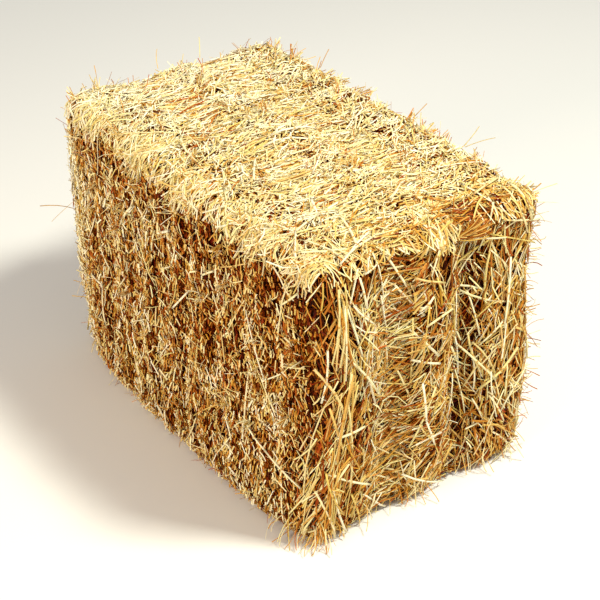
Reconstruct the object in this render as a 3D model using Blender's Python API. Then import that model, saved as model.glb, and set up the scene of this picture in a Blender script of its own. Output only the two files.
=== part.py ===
"""A small square straw bale: pressed flakes side by side, held by two knotted twines.

X runs along the bale, -Y is the cut side, +Z is up.
The origin is on the flat bottom, under the middle of the bale.
"""
import math
import random

import bmesh
import bpy
from mathutils import Vector, noise

# Driving dimensions of the bale, in metres
BALE_LENGTH = 0.620
BALE_WIDTH = 0.362
BALE_HEIGHT = 0.420
EDGE_RADIUS = 0.024

# The flakes are the slices that the baler's plunger presses, one stroke each
FLAKE_COUNT = 9
FLAKE_GAP = 0.0004
SEAM_DEPTH = 0.005
STATIONS_PER_FLAKE = 6

# Where the pressed straw swells between the twines and on the cut side
CUT_SIDE_SWELL = 0.028
TOP_SWELL = 0.010
END_SWELL = 0.010
SWELL_START = 0.080

# Ridges of laid straw, which run round the bale on its sides and steeply down its ends
RIDGE_HEIGHT = 0.0045
RIDGE_PITCH = 0.011
RIDGE_RUN = 0.085
END_RIDGE_PITCH = 0.024
END_RIDGE_RUN = 0.110
END_RIDGE_SLANT = 0.30

# Two loops of twine, each pulled into a groove that it presses in the straw
TWINE_OFFSET = 0.057
TWINE_RADIUS = 0.0016
TWINE_CLEARANCE = 0.0015
KNOT_HEIGHT = 0.255
KNOT_LENGTH = 0.014
KNOT_SWELLING = 2.1
GROOVE_REACH = 0.030
GROOVE_SHOULDER = 0.014
GROOVE_DEPTH_TOP = 0.010
GROOVE_DEPTH_BOTTOM = 0.007
GROOVE_DEPTH_END = 0.018

# Tufts: bunches of straw that stand out of a flake, fused to it
TUFTS_PER_FLAKE = 9
TUFT_HEIGHT = 0.015
TUFT_LEAN = 0.010
TUFT_INSET = 0.0035
TUFT_FREE_HEIGHT = 0.070
TUFT_TWINE_DISTANCE = 0.046

STRAW_COLOURS = ((0.62, 0.42, 0.16), (0.56, 0.37, 0.13), (0.66, 0.46, 0.19))
STRAW_ROUGHNESS = 0.75
TWINE_COLOUR = (0.45, 0.30, 0.14)
TWINE_ROUGHNESS = 0.85

HALF_SIZE = Vector((BALE_LENGTH, BALE_WIDTH, BALE_HEIGHT)) / 2
FLAKE_THICKNESS = BALE_LENGTH / FLAKE_COUNT


def clear_scene():
    for item in list(bpy.data.objects):
        bpy.data.objects.remove(item, do_unlink=True)


def spread(first, last, steps):
    """Evenly spaced values from first to last, both included."""
    return [first + (last - first) * step / steps for step in range(steps + 1)]


def column_lines():
    """Y of the lines of the mesh, close together at the edges and in the grooves."""
    half_width = BALE_WIDTH / 2
    flat_end = half_width - EDGE_RADIUS
    shoulder_out = TWINE_OFFSET + GROOVE_SHOULDER
    shoulder_in = TWINE_OFFSET - GROOVE_SHOULDER
    outer = [shoulder_out, (shoulder_out + flat_end) / 2, flat_end, half_width - EDGE_RADIUS / 2, half_width]
    right = spread(0.0, shoulder_in, 2) + [TWINE_OFFSET] + outer
    left = [-y for y in reversed(right[1:])]
    return left + right


def row_lines():
    """Z of the lines of the mesh, close together at the edges."""
    half_edge = EDGE_RADIUS / 2
    flat = spread(EDGE_RADIUS, BALE_HEIGHT - EDGE_RADIUS, 8)
    return [0.0, half_edge] + flat + [BALE_HEIGHT - half_edge, BALE_HEIGHT]


COLUMNS = column_lines()
ROWS = row_lines()


def perimeter():
    """Places (column, row) round the cross-section, in order."""
    last_column = len(COLUMNS) - 1
    last_row = len(ROWS) - 1
    bottom = [(column, 0) for column in range(last_column)]
    back = [(last_column, row) for row in range(last_row)]
    top = [(column, last_row) for column in range(last_column, 0, -1)]
    front = [(0, row) for row in range(last_row, 0, -1)]
    return bottom + back + top + front


def round_edges(place):
    """Bring a place on the plain box onto the box with round edges, with its outward direction."""
    centred = place - Vector((0, 0, HALF_SIZE.z))
    inner = Vector()
    for axis in range(3):
        limit = HALF_SIZE[axis] - EDGE_RADIUS
        inner[axis] = max(-limit, min(limit, centred[axis]))
    outward = (centred - inner).normalized()
    rounded = inner + outward * EDGE_RADIUS + Vector((0, 0, HALF_SIZE.z))
    return rounded, outward


def groove_share(y):
    """1 on the line of a twine, falling to 0 at the groove's reach."""
    distance = abs(abs(y) - TWINE_OFFSET)
    if distance >= GROOVE_REACH:
        return 0.0
    return (1 - (distance / GROOVE_REACH) ** 2) ** 2


def groove_depth(outward):
    """How deep the twine lies, for the side of the bale that faces outward."""
    top = GROOVE_DEPTH_TOP * max(0.0, outward.z) ** 2
    bottom = GROOVE_DEPTH_BOTTOM * max(0.0, -outward.z) ** 2
    end = GROOVE_DEPTH_END * outward.x ** 2
    return top + bottom + end


def ridges(place, outward):
    """Relief of the laid straw at a place, about -1 to 1 times the ridge height."""
    along = Vector((place.x / RIDGE_PITCH, place.y / RIDGE_RUN, place.z / RIDGE_RUN))
    slanted = place.y + END_RIDGE_SLANT * place.z
    down_end = Vector((slanted / END_RIDGE_PITCH, place.z / END_RIDGE_RUN, place.x / BALE_LENGTH))
    end_share = outward.x ** 2
    relief = (1 - end_share) * noise.noise(along) + end_share * noise.noise(down_end)
    return RIDGE_HEIGHT * 2 * relief


def swell(place, outward):
    """How far the straw bulges out between the twines."""
    level = place.z / BALE_HEIGHT
    along = 1 - (place.x / HALF_SIZE.x) ** 2
    across = 1 - (place.y / HALF_SIZE.y) ** 2
    top = TOP_SWELL * max(0.0, outward.z) * along * across
    end = END_SWELL * outward.x ** 2 * math.sqrt(math.sin(math.pi * level))
    return top + end


def cut_side_shift(place):
    """How far the cut side's straw has crept out, most at mid length and low down."""
    reach = HALF_SIZE.y - SWELL_START
    share = max(0.0, -place.y - SWELL_START) / reach
    along = 1 - (place.x / HALF_SIZE.x) ** 4
    level = 1 - 0.5 * place.z / BALE_HEIGHT
    return CUT_SIDE_SWELL * share * along * level


def skin(x, y, z, seam=0.0):
    """The straw's surface at a place of the plain box."""
    place = Vector((x, y, z))
    rounded, outward = round_edges(place)
    groove = groove_share(y) * (1 - outward.y ** 2)
    off_bottom = 1 - max(0.0, -outward.z)
    relief = (swell(place, outward) + ridges(place, outward) - seam) * off_bottom
    amount = relief * (1 - groove) - groove_depth(outward) * groove
    surface = rounded + outward * amount
    surface.y -= cut_side_shift(place)
    surface.z = max(0.0, surface.z)
    return surface


def flake_stations(number):
    """X of the cross-sections of one flake, with the outer end's round edge on the end flakes."""
    start = -HALF_SIZE.x + number * FLAKE_THICKNESS + FLAKE_GAP / 2
    end = start + FLAKE_THICKNESS - FLAKE_GAP
    if number == 0:
        inner = spread(-HALF_SIZE.x + EDGE_RADIUS, end, STATIONS_PER_FLAKE // 2)
        return [-HALF_SIZE.x, -HALF_SIZE.x + EDGE_RADIUS / 2] + inner
    if number == FLAKE_COUNT - 1:
        inner = spread(start, HALF_SIZE.x - EDGE_RADIUS, STATIONS_PER_FLAKE // 2)
        return inner + [HALF_SIZE.x - EDGE_RADIUS / 2, HALF_SIZE.x]
    return spread(start, end, STATIONS_PER_FLAKE - 1)


def add_end_face(mesh, x, centre, edge):
    """Fill an outer end with a grid that carries its bulges, ridges and grooves."""
    grid = dict(edge)
    for column in range(1, len(COLUMNS) - 1):
        for row in range(1, len(ROWS) - 1):
            grid[column, row] = mesh.verts.new(skin(x, COLUMNS[column], ROWS[row]) - centre)
    for column in range(len(COLUMNS) - 1):
        for row in range(len(ROWS) - 1):
            corners = ((column, row), (column + 1, row), (column + 1, row + 1), (column, row + 1))
            mesh.faces.new([grid[corner] for corner in corners])


def tuft_faces(mesh, centre, chance):
    """Choose the faces of a flake that grow a tuft."""
    free = []
    for face in mesh.faces:
        if len(face.verts) != 4:
            continue
        middle = face.calc_center_median() + centre
        off_twine = abs(abs(middle.y) - TWINE_OFFSET) > TUFT_TWINE_DISTANCE or abs(face.normal.y) > 0.9
        off_seam = abs(middle.x - centre.x) < FLAKE_THICKNESS * 0.3 or abs(face.normal.x) > 0.9
        if middle.z > TUFT_FREE_HEIGHT and off_twine and off_seam and face.normal.z > -0.2:
            free.append(face)
    return chance.sample(free, TUFTS_PER_FLAKE)


def grow_tufts(mesh, centre, chance):
    """Draw each chosen face out to a leaning point."""
    for face in tuft_faces(mesh, centre, chance):
        height = TUFT_HEIGHT * chance.uniform(0.7, 1.1)
        lean = Vector((0, chance.uniform(-1, 1), chance.uniform(-1, 0.6))) * TUFT_LEAN
        normal = face.normal.copy()
        bmesh.ops.inset_individual(mesh, faces=[face], thickness=TUFT_INSET)
        tip = bmesh.ops.poke(mesh, faces=[face])["verts"][0]
        tip.co += normal * height + lean - normal * lean.dot(normal)


def make_material(name, colour, roughness):
    material = bpy.data.materials.new(name)
    material.use_nodes = True
    shader = material.node_tree.nodes["Principled BSDF"]
    shader.inputs["Base Color"].default_value = (*colour, 1.0)
    shader.inputs["Roughness"].default_value = roughness
    shader.inputs["Metallic"].default_value = 0.0
    return material


def make_flake(number):
    """One slice of pressed straw, from seam to seam."""
    name = f"flake_{number + 1:02d}"
    centre = Vector((-HALF_SIZE.x + (number + 0.5) * FLAKE_THICKNESS, 0, 0))
    stations = flake_stations(number)
    places = perimeter()
    mesh = bmesh.new()
    loops = []
    for x in stations:
        at_seam = x in (stations[0], stations[-1]) and abs(x) < HALF_SIZE.x
        seam = SEAM_DEPTH if at_seam else 0.0
        loop = {}
        for column, row in places:
            point = skin(x, COLUMNS[column], ROWS[row], seam)
            loop[column, row] = mesh.verts.new(point - centre)
        loops.append(loop)
    for left, right in zip(loops, loops[1:]):
        for here, there in zip(places, places[1:] + places[:1]):
            mesh.faces.new((left[here], left[there], right[there], right[here]))
    for x, loop in ((stations[0], loops[0]), (stations[-1], loops[-1])):
        if abs(x) == HALF_SIZE.x:
            add_end_face(mesh, x, centre, loop)
        else:
            mesh.faces.new([loop[place] for place in places])
    bmesh.ops.recalc_face_normals(mesh, faces=mesh.faces)
    grow_tufts(mesh, centre, random.Random(number + 1))
    data = bpy.data.meshes.new(name)
    mesh.to_mesh(data)
    mesh.free()
    data.materials.append(make_material(name, STRAW_COLOURS[number % len(STRAW_COLOURS)], STRAW_ROUGHNESS))
    flake = bpy.data.objects.new(name, data)
    flake.location = centre
    bpy.context.scene.collection.objects.link(flake)


def twine_places():
    """Places on the plain box, once round it in the X-Z plane, closest at the corners and the knot."""
    end = HALF_SIZE.x
    half = EDGE_RADIUS / 2
    along = [half - end] + spread(EDGE_RADIUS - end, end - EDGE_RADIUS, 6) + [end - half]
    level = spread(EDGE_RADIUS, BALE_HEIGHT - EDGE_RADIUS, 4)
    upward = [0.0, half] + level + [BALE_HEIGHT - half, BALE_HEIGHT]
    knot = spread(KNOT_HEIGHT - KNOT_LENGTH / 2, KNOT_HEIGHT + KNOT_LENGTH / 2, 4)
    top = [(x, BALE_HEIGHT) for x in along]
    near = [(end, z) for z in reversed(upward)]
    bottom = [(-x, 0.0) for x in along]
    far = [(-end, z) for z in sorted(upward + knot)]
    return top + near + bottom + far


def make_twine(name, y):
    """A loop of twine round the whole bale, with its knot on the far end."""
    route = []
    for x, z in twine_places():
        rounded, outward = round_edges(Vector((x, y, z)))
        in_knot = x < 0 and abs(z - KNOT_HEIGHT) < KNOT_LENGTH * 0.3
        swelling = KNOT_SWELLING if in_knot else 1.0
        lift = TWINE_CLEARANCE + TWINE_RADIUS * swelling - groove_depth(outward)
        route.append((rounded + outward * lift, swelling))
    curve = bpy.data.curves.new(name, "CURVE")
    curve.dimensions = "3D"
    curve.bevel_depth = TWINE_RADIUS
    curve.bevel_resolution = 2
    line = curve.splines.new("POLY")
    line.points.add(len(route) - 1)
    for point, (place, swelling) in zip(line.points, route):
        point.co = (*place, 1.0)
        point.radius = swelling
    line.use_cyclic_u = True
    curve.materials.append(make_material(name, TWINE_COLOUR, TWINE_ROUGHNESS))
    bpy.context.scene.collection.objects.link(bpy.data.objects.new(name, curve))


clear_scene()
for flake_number in range(FLAKE_COUNT):
    make_flake(flake_number)
make_twine("twine_cut_side", -TWINE_OFFSET)
make_twine("twine_folded_side", TWINE_OFFSET)
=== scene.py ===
import math

import bpy
import numpy as np
from mathutils import Matrix, Vector
from mathutils.bvhtree import BVHTree


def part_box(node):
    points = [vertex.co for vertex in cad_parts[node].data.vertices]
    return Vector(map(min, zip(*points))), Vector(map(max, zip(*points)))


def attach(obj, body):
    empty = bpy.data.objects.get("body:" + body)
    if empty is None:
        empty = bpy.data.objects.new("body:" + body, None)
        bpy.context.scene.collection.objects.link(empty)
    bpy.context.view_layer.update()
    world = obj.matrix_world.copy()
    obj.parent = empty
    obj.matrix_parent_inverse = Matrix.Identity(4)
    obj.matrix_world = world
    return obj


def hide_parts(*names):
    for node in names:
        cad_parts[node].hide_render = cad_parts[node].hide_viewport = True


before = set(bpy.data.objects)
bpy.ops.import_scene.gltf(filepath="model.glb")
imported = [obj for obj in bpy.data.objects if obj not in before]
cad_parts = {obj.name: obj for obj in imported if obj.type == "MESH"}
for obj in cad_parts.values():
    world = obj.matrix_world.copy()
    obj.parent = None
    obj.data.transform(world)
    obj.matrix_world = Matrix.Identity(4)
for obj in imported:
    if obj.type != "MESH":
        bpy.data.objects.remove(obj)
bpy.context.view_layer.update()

# The pressed bale.
# The baler presses the straw in flakes, one a stroke, into a block with round edges, swollen sides
# and a groove under each twine. Every stalk below lies on that surface, which the frame holds.

BALE_HALF_WIDTH = 0.181
BALE_HEIGHT = 0.420
EDGE_RADIUS = 0.024
flake_names = sorted(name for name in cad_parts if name.startswith("flake_"))
flake_boxes = [[np.array(corner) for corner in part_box(name)] for name in flake_names]
first_seam = flake_boxes[0][1][0]
last_seam = flake_boxes[-1][0][0]
flake_thickness = (last_seam - first_seam) / (len(flake_names) - 2)
half_length = (last_seam - first_seam) / 2 + flake_thickness
bale_centre = np.array(((first_seam + last_seam) / 2, 0.0, BALE_HEIGHT / 2))
bale_half = np.array((half_length, BALE_HALF_WIDTH, BALE_HEIGHT / 2))


def unit(vectors):
    """The same directions, each 1 long."""
    return vectors / np.maximum(np.linalg.norm(vectors, axis=-1, keepdims=True), 1e-9)


def outward_of(points):
    """The direction out of the bale at each point, turning smoothly round its edges."""
    away = points - bale_centre
    beyond = np.maximum(np.abs(away) - (bale_half - EDGE_RADIUS), 0.0)
    return unit(np.sign(away) * beyond)


SOFT_CORNERS = (
    (0.310, 0.181, 0.285, 0.070, 0.014),
    (-0.310, -0.181, 0.020, 0.060, 0.016),
)  # X, Y and Z of each corner that has gone soft, how far round it the straw gives way, and how much


def pressed_in(points):
    """How far each point gives way at the soft corners."""
    total = 0.0
    for x, y, z, reach, depth in SOFT_CORNERS:
        total = total + depth * np.exp(-(((points - (x, y, z)) / reach) ** 2).sum(-1))
    return total


TIP_TURN = 5.3  # the faces round the tip of a tuft fill less of a turn than this, in radians
SEAM_FACING = 0.999  # a face that looks more than this much along the bale is where two flakes meet


def flake_mesh(name):
    """Vertices and triangles of a flake with its tufts pressed flat, and the foot and tip of each tuft."""
    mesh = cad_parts[name].data
    mesh.calc_loop_triangles()
    places = np.empty(len(mesh.vertices) * 3, np.float32)
    mesh.vertices.foreach_get("co", places)
    picks = np.empty(len(mesh.loop_triangles) * 3, np.int32)
    mesh.loop_triangles.foreach_get("vertices", picks)
    corners = np.round(places.reshape(-1, 3)[picks].astype(float), 6)
    places, picks = np.unique(corners, axis=0, return_inverse=True)
    faces = picks.reshape(-1, 3)
    turn = np.zeros(len(places))
    for corner in range(3):
        here = places[faces[:, corner]]
        after = unit(places[faces[:, corner - 2]] - here)
        before = unit(places[faces[:, corner - 1]] - here)
        np.add.at(turn, faces[:, corner], np.arccos(np.clip((after * before).sum(1), -1, 1)))
    tips = np.flatnonzero(turn < TIP_TURN)
    tip_places = places[tips]
    feet = []
    for tip in tips:
        around = np.unique(faces[(faces == tip).any(1)])
        feet.append(places[around[around != tip]].mean(0))
    places[tips] = feet
    places -= outward_of(places) * pressed_in(places)[:, None]
    places[:, 2] = np.maximum(places[:, 2], 0.0)
    return places, faces, np.array(feet), tip_places


def surface_triangles():
    """Corners, flake number and area of every triangle of the bale's outer surface."""
    corners, numbers = [], []
    for number, name in enumerate(flake_names):
        places, faces, feet, tips = flake_mesh(name)
        triangles = places[faces]
        facing = unit(np.cross(triangles[:, 1] - triangles[:, 0], triangles[:, 2] - triangles[:, 0]))
        inside = np.abs(triangles.mean(1)[:, 0] - bale_centre[0]) < half_length - EDGE_RADIUS
        outer = triangles[~((np.abs(facing[:, 0]) > SEAM_FACING) & inside)]
        corners.append(outer)
        numbers.append(np.full(len(outer), number))
    corners = np.concatenate(corners)
    area = np.linalg.norm(np.cross(corners[:, 1] - corners[:, 0], corners[:, 2] - corners[:, 0]), axis=1) / 2
    return corners, np.concatenate(numbers), area


surface, surface_flake, surface_area = surface_triangles()
surface_outward = outward_of(surface.mean(1))
surface_tree = BVHTree.FromPolygons(
    surface.reshape(-1, 3).tolist(),
    np.arange(len(surface) * 3).reshape(-1, 3).tolist(),
)


def nearest_on_bale(points):
    """The nearest place of the pressed surface to each point, and its flake."""
    found = [surface_tree.find_nearest(point) for point in points.reshape(-1, 3).tolist()]
    places = np.array([item[0] for item in found]).reshape(points.shape)
    flakes = surface_flake[[item[2] for item in found]].reshape(points.shape[:-1])
    return places, flakes


# How stalks lie on the bale.
# Ripe straw is hollow stalks of 3 to 5 mm with a joint every hand's width. The plunger crushes them
# flat and the knife chops them, so there are long stalks, short shreds and torn sheaths.

SIDES = {
    "cut_side": (1, -1),
    "folded_side": (1, 1),
    "top": (2, 1),
    "bottom": (2, -1),
    "near_end": (0, 1),
    "far_end": (0, -1),
}
UP = (0, 0, 1)
ACROSS = (0, 1, 0)
WAVES = 7  # of them are added to make a ripple
WAVE_LENGTHS = (1.2, 3.2)  # in pitches
WAVE_SUM = 2.6  # their usual height together
batches = []


def ripple(points, pitch, seed):
    """A smooth random number from about -1 to 1 at each point, in patches about pitch wide."""
    chance = np.random.default_rng(seed)
    total = np.zeros(points.shape[:-1])
    for direction in unit(chance.normal(0, 1, (WAVES, 3))):
        wave = chance.uniform(*WAVE_LENGTHS)
        total += np.sin((points / pitch) @ direction * 2 * math.pi / wave + chance.uniform(0, 2 * math.pi))
    return total / WAVE_SUM


def scatter(side, count, chance):
    """Random places on one side of the bale."""
    axis, sign = SIDES[side]
    largest = np.abs(surface_outward).argmax(1)
    on_side = (largest == axis) & (np.sign(surface_outward[:, axis]) == sign)
    weight = np.where(on_side, surface_area, 0.0)
    picks = chance.choice(len(surface), count, p=weight / weight.sum())
    share = chance.random((count, 2))
    folded = share.sum(1) > 1
    share[folded] = 1 - share[folded]
    a, b, c = surface[picks, 0], surface[picks, 1], surface[picks, 2]
    return a + (b - a) * share[:, :1] + (c - a) * share[:, 1:], surface_flake[picks]


STAND_OFF = 0.006  # the most that a stalk of a side may stand out of it
SWIRL_PITCH = 0.045
BLOTCH_PITCH = 0.040


def lay(side, count, seed, grain, turn, length, width, depth, tone, swirl=0.0, blotch=0.0, shade=None,
        follow=0.0, tilt=0.0, lift=0.0, bow=0.0, flatness=0.5, stations=(-0.5, 0.5), sides=0, where=None,
        bridge=0.0, clear=None):
    """Lay stalks on one side of the bale.

    grain is their main direction and turn its spread in radians; length, width, depth and tone are
    (least, most). swirl turns and blotch darkens whole patches of them, and shade gives the tone that
    a place adds. follow is 1 where they hug the surface, tilt is how unevenly and lift how steeply they
    leave it, and bow how much they bend. stations are the shares of the length where a stalk has
    points; sides 0 makes a flat shred. where picks the places that get stalks, and clear picks the
    stalks by their whole path. bridge is 1 where they span a groove in a straight line, and less where
    each covers only that part of such a line.
    """
    chance = np.random.default_rng(seed)
    centre, flake = scatter(side, count, chance)
    if where is not None:
        kept = where(centre, chance)
        centre, flake = centre[kept], flake[kept]
    count = len(centre)
    outward = outward_of(centre)
    grain = grain(centre) if callable(grain) else np.broadcast_to(np.array(grain, float), centre.shape)
    along = unit(grain - outward * (grain * outward).sum(1, keepdims=True))
    across = np.cross(outward, along)
    angle = chance.normal(0, turn, (count, 1)) + swirl * ripple(centre, SWIRL_PITCH, seed)[:, None]
    rise = chance.normal(0, 1, (count, 1)) * tilt + lift
    along = unit(along * np.cos(angle) + across * np.sin(angle) + outward * rise)
    size = chance.uniform(*length, (count, 1))
    stations = np.array(stations)
    path = centre[:, None] + along[:, None] * (stations * size)[..., None]
    height = chance.uniform(*depth, (count, 1, 1))
    if bridge:
        ends = nearest_on_bale(path[:, [0, -1]])[0]
        share = ((stations - stations[0]) / (stations[-1] - stations[0]))[:, None] * bridge
        share = share + chance.random((count, 1, 1)) * (1 - bridge)
        path = ends[:, :1] * (1 - share) + ends[:, 1:] * share + outward[:, None] * height
    else:
        places = nearest_on_bale(path)[0]
        facing = outward_of(places)
        above = ((path - places) * facing).sum(-1, keepdims=True)
        stays = above * (1 - follow)
        if not lift:
            stays = np.minimum(stays, STAND_OFF)
        path += facing * (stays - above + height)
    sideways = np.cross(along, outward)
    bend = chance.normal(0, 1, (count, 1)) * bow * size
    path += sideways[:, None] * (bend * (0.25 - stations ** 2))[..., None]
    tones = chance.uniform(*tone, count) + blotch * ripple(centre, BLOTCH_PITCH, seed // 10)
    if shade is not None:
        tones += shade(centre)
    widths = chance.uniform(*width, count)
    if clear is not None:
        kept = clear(path, chance)
        path, outward, flake = path[kept], outward[kept], flake[kept]
        widths, tones = widths[kept], tones[kept]
    add_batch(path, outward, flake, widths, tones, chance, flatness, sides)


def spots(places, middles, reach):
    """1 at the nearest of these middles and 0 well away from it."""
    away = (places[:, None] - np.array(middles)) / np.array(reach)
    return np.exp(-(away ** 2).sum(-1)).max(1)


# Straw as mesh.
# A shred is a closed sliver of four faces. A stalk is a closed tube with a swollen joint and, where it
# is wide enough to see into, hollow ends. U runs along the stalk and V holds its tone.

SWATCH_LENGTH = 0.35  # the material's U from 0 to SWATCH_END is one stalk of this length
SWATCH_END = 0.94  # U above this is a stalk's cut ends and hollow inside, drawn dark as painted shade
JOINT_U = 0.5  # the joint of that stalk
JOINT_CLEAR = 0.02  # U that stalks without a joint keep away from it
STRIP = 0.004  # V that one stalk is wide
TONE_LIMITS = (0.01, 0.985)
ROLL_SPREAD = 0.35  # how unevenly stalks are rolled on their own axis, in radians
FLOOR_GAP = 0.0002  # the least height of anything over the ground
JOINTED = (-0.5, -0.25, -0.012, 0.0, 0.012, 0.25, 0.5)  # stations of a stalk with a joint
JOINT_POINT = 3  # the number of the joint among them
JOINT_SWELLING = 1.22
HOLLOW_SIDES = 6  # stalks with this many sides are wide enough to see into
HOLLOW_WALL = 0.70  # the hollow is this much of a stalk's width
HOLLOW_START = SWATCH_END + 0.004  # U above this is darkened with painted shade
HOLLOW_DEPTH = 0.0015
OFF_LINE = np.array((0.013, 0.021, 0.017))  # keeps a stalk that stands straight out from having no side


def add_batch(path, outward, flake, width, tone, chance, flatness=0.5, sides=0):
    """Keep stalks for the mesh of their flake. Those with as many points as JOINTED have a joint."""
    run = np.linalg.norm(np.diff(path, axis=1), axis=2).cumsum(1) / SWATCH_LENGTH * SWATCH_END
    run = np.concatenate([np.zeros((len(path), 1)), run], 1)
    if path.shape[1] == len(JOINTED):
        start = JOINT_U - run[:, JOINT_POINT]
    else:
        room = np.maximum(JOINT_U - JOINT_CLEAR - run[:, -1], 0.001)
        start = chance.random(len(path)) * room + np.where(chance.random(len(path)) < 0.5, 0, SWATCH_END / 2)
        start = np.clip(start, 0.0, np.maximum(SWATCH_END - run[:, -1], 0.0))
    batches.append({
        "path": path,
        "outward": outward,
        "flake": flake,
        "width": width,
        "tone": np.clip(tone, *TONE_LIMITS),
        "along": start[:, None] + run,
        "roll": chance.normal(0, ROLL_SPREAD, len(path)),
        "flatness": flatness,
        "sides": sides,
    })


def crosswise(path, outward):
    """Two directions across each point of each path: level with the surface, and out of it."""
    tangent = unit(np.gradient(path, axis=1))
    side = unit(np.cross(tangent, outward[:, None] + OFF_LINE))
    return side, np.cross(side, tangent)


SLIVER = ([0, 1, 2], [0, 3, 1], [2, 3, 0], [2, 1, 3])  # its faces, from two points at each end


def shred_mesh(batch, chosen):
    """Slivers whose two ends are turned against each other."""
    path = batch["path"][chosen]
    side, up = crosswise(path, batch["outward"][chosen])
    roll = batch["roll"][chosen]
    roll = np.stack([roll, roll + 1.1 + roll * 0.6], 1)[..., None]
    across = (side * np.cos(roll) + up * np.sin(roll)) * batch["width"][chosen][:, None, None] / 2
    vertices = np.stack([path - across, path + across], 2).reshape(-1, 3)
    vertices[:, 2] = np.maximum(vertices[:, 2], FLOOR_GAP)
    corner = np.arange(len(chosen) * 4).reshape(-1, 4)
    faces = corner[:, SLIVER].reshape(-1, 3)
    u = np.repeat(batch["along"][chosen], 2, axis=1)
    v = batch["tone"][chosen][:, None] + STRIP * np.array((0, 1, 0, 1))
    uv = np.stack([u.reshape(-1)[faces], v.reshape(-1)[faces]], -1)
    return vertices, [faces], [uv.reshape(-1, 2)], [False]


def stalk_mesh(batch, chosen):
    """Closed tubes along the chosen paths of a batch."""
    path = batch["path"][chosen]
    count, points = path.shape[:2]
    sides = batch["sides"]
    side, up = crosswise(path, batch["outward"][chosen])
    around = np.arange(sides) * 2 * math.pi / sides
    roll = batch["roll"][chosen][:, None, None]
    half = np.broadcast_to(batch["width"][chosen][:, None] / 2, (count, points)).copy()
    if points == len(JOINTED):
        half[:, JOINT_POINT] *= JOINT_SWELLING
    wide = np.cos(around) * half[..., None]
    thick = np.sin(around) * half[..., None] * batch["flatness"]
    offset_side = wide * np.cos(roll) - thick * np.sin(roll)
    offset_up = wide * np.sin(roll) + thick * np.cos(roll)
    rings = path[:, :, None] + side[:, :, None] * offset_side[..., None]
    rings = rings + up[:, :, None] * offset_up[..., None]
    u = np.broadcast_to(batch["along"][chosen][:, :, None], rings.shape[:3])
    v = batch["tone"][chosen][:, None, None] + STRIP * (1 + np.cos(around)) / 2
    v = np.broadcast_to(v, rings.shape[:3])
    vertex = np.arange(count * points * sides).reshape(count, points, sides)
    following = np.roll(vertex, -1, axis=2)
    quads = np.stack([vertex[:, :-1], following[:, :-1], following[:, 1:], vertex[:, 1:]], -1).reshape(-1, 4)
    quad_uv = np.stack([u.reshape(-1)[quads], v.reshape(-1)[quads]], -1).reshape(-1, 2)
    cap_u = (1 + SWATCH_END) / 2 + (1 - SWATCH_END) / 4 * np.cos(around)
    cap_v = batch["tone"][chosen][:, None] + STRIP * (1 + np.sin(around)) / 2
    cap_uv = np.stack([np.broadcast_to(cap_u, cap_v.shape), cap_v], -1)
    vertices, faces, uvs, smooth = rings.reshape(-1, 3), [quads], [quad_uv], [sides > 4]
    caps = [vertex[:, 0, ::-1], vertex[:, -1]]
    if sides >= HOLLOW_SIDES:
        for end, inward in ((0, 1), (-1, -1)):
            rim = rings[:, end]
            middle = path[:, end][:, None]
            tangent = unit(path[:, end + inward] - path[:, end])[:, None]
            inner = len(vertices) + np.arange(count * sides).reshape(count, sides)
            bottom = middle + (rim - middle) * HOLLOW_WALL + tangent * HOLLOW_DEPTH
            vertices = np.concatenate([vertices, bottom.reshape(-1, 3)])
            outer = vertex[:, end]
            wall = [outer, inner, np.roll(inner, -1, axis=1), np.roll(outer, -1, axis=1)]
            wall_u = np.stack([u[:, end], np.broadcast_to(cap_u, outer.shape)] * 2, -1)[..., [0, 1, 1, 0]]
            wall_v = np.stack([v[:, end], cap_v] * 2, -1)[..., [0, 1, 1, 0]]
            wall = np.stack(wall if inward > 0 else wall[::-1], -1).reshape(-1, 4)
            if inward < 0:
                wall_u, wall_v = wall_u[..., ::-1], wall_v[..., ::-1]
            faces.append(wall)
            uvs.append(np.stack([wall_u, wall_v], -1).reshape(-1, 2))
            smooth.append(False)
            caps[0 if inward > 0 else 1] = inner[:, ::-1] if inward > 0 else inner
    for cap, order in zip(caps, (slice(None, None, -1), slice(None))):
        faces.append(cap)
        uvs.append(cap_uv[:, order].reshape(-1, 2))
        smooth.append(False)
    vertices[:, 2] = np.maximum(vertices[:, 2], FLOOR_GAP)
    return vertices, faces, uvs, smooth


def drape(starts, pulls, ends, seed, width, tone, bow=0.0, flatness=0.55, sides=3, points=5, jointed=False):
    """Stalks that run from start to end, bent towards the place that pulls them.

    width and tone are (least, most), bow is how unevenly they bend sideways, and points how many
    points each has if it isn't jointed.
    """
    chance = np.random.default_rng(seed)
    share = np.array(JOINTED) + 0.5 if jointed else np.linspace(0, 1, points)
    share = share[:, None]
    path = starts[:, None] * (1 - share) ** 2 + pulls[:, None] * 2 * share * (1 - share)
    path = path + ends[:, None] * share ** 2
    outward = outward_of(path[:, len(share) // 2])
    sideways = unit(np.cross(ends - starts, outward + OFF_LINE))
    span = np.linalg.norm(ends - starts, axis=1)[:, None, None]
    bend = chance.normal(0, 1, (len(path), 1, 1)) * bow * span
    path += sideways[:, None] * bend * (share * (1 - share))
    count = len(path)
    add_batch(path, outward, nearest_on_bale(path[:, len(share) // 2])[1], chance.uniform(*width, count),
              chance.uniform(*tone, count), chance, flatness, sides)


def on_bale(x, y, z, height=0.0):
    """Places outside the bale, moved straight in to its surface, or to this height above it."""
    places = np.stack(np.broadcast_arrays(x, y, z), -1).astype(float)
    outward = outward_of(places)
    for place, direction in zip(places, outward):
        hit = surface_tree.ray_cast(place, -direction)[0]
        place[:] = hit if hit is not None else surface_tree.find_nearest(place)[0]
    return places + outward * np.broadcast_to(height, len(places))[:, None]


# The cut side.
# The knife chops every flake off on this side, so it is a wall of short shreds that stand on end,
# rust brown, darkened by painted shade in its depths and the seams between flakes, with a few long strays
# across it.

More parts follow.
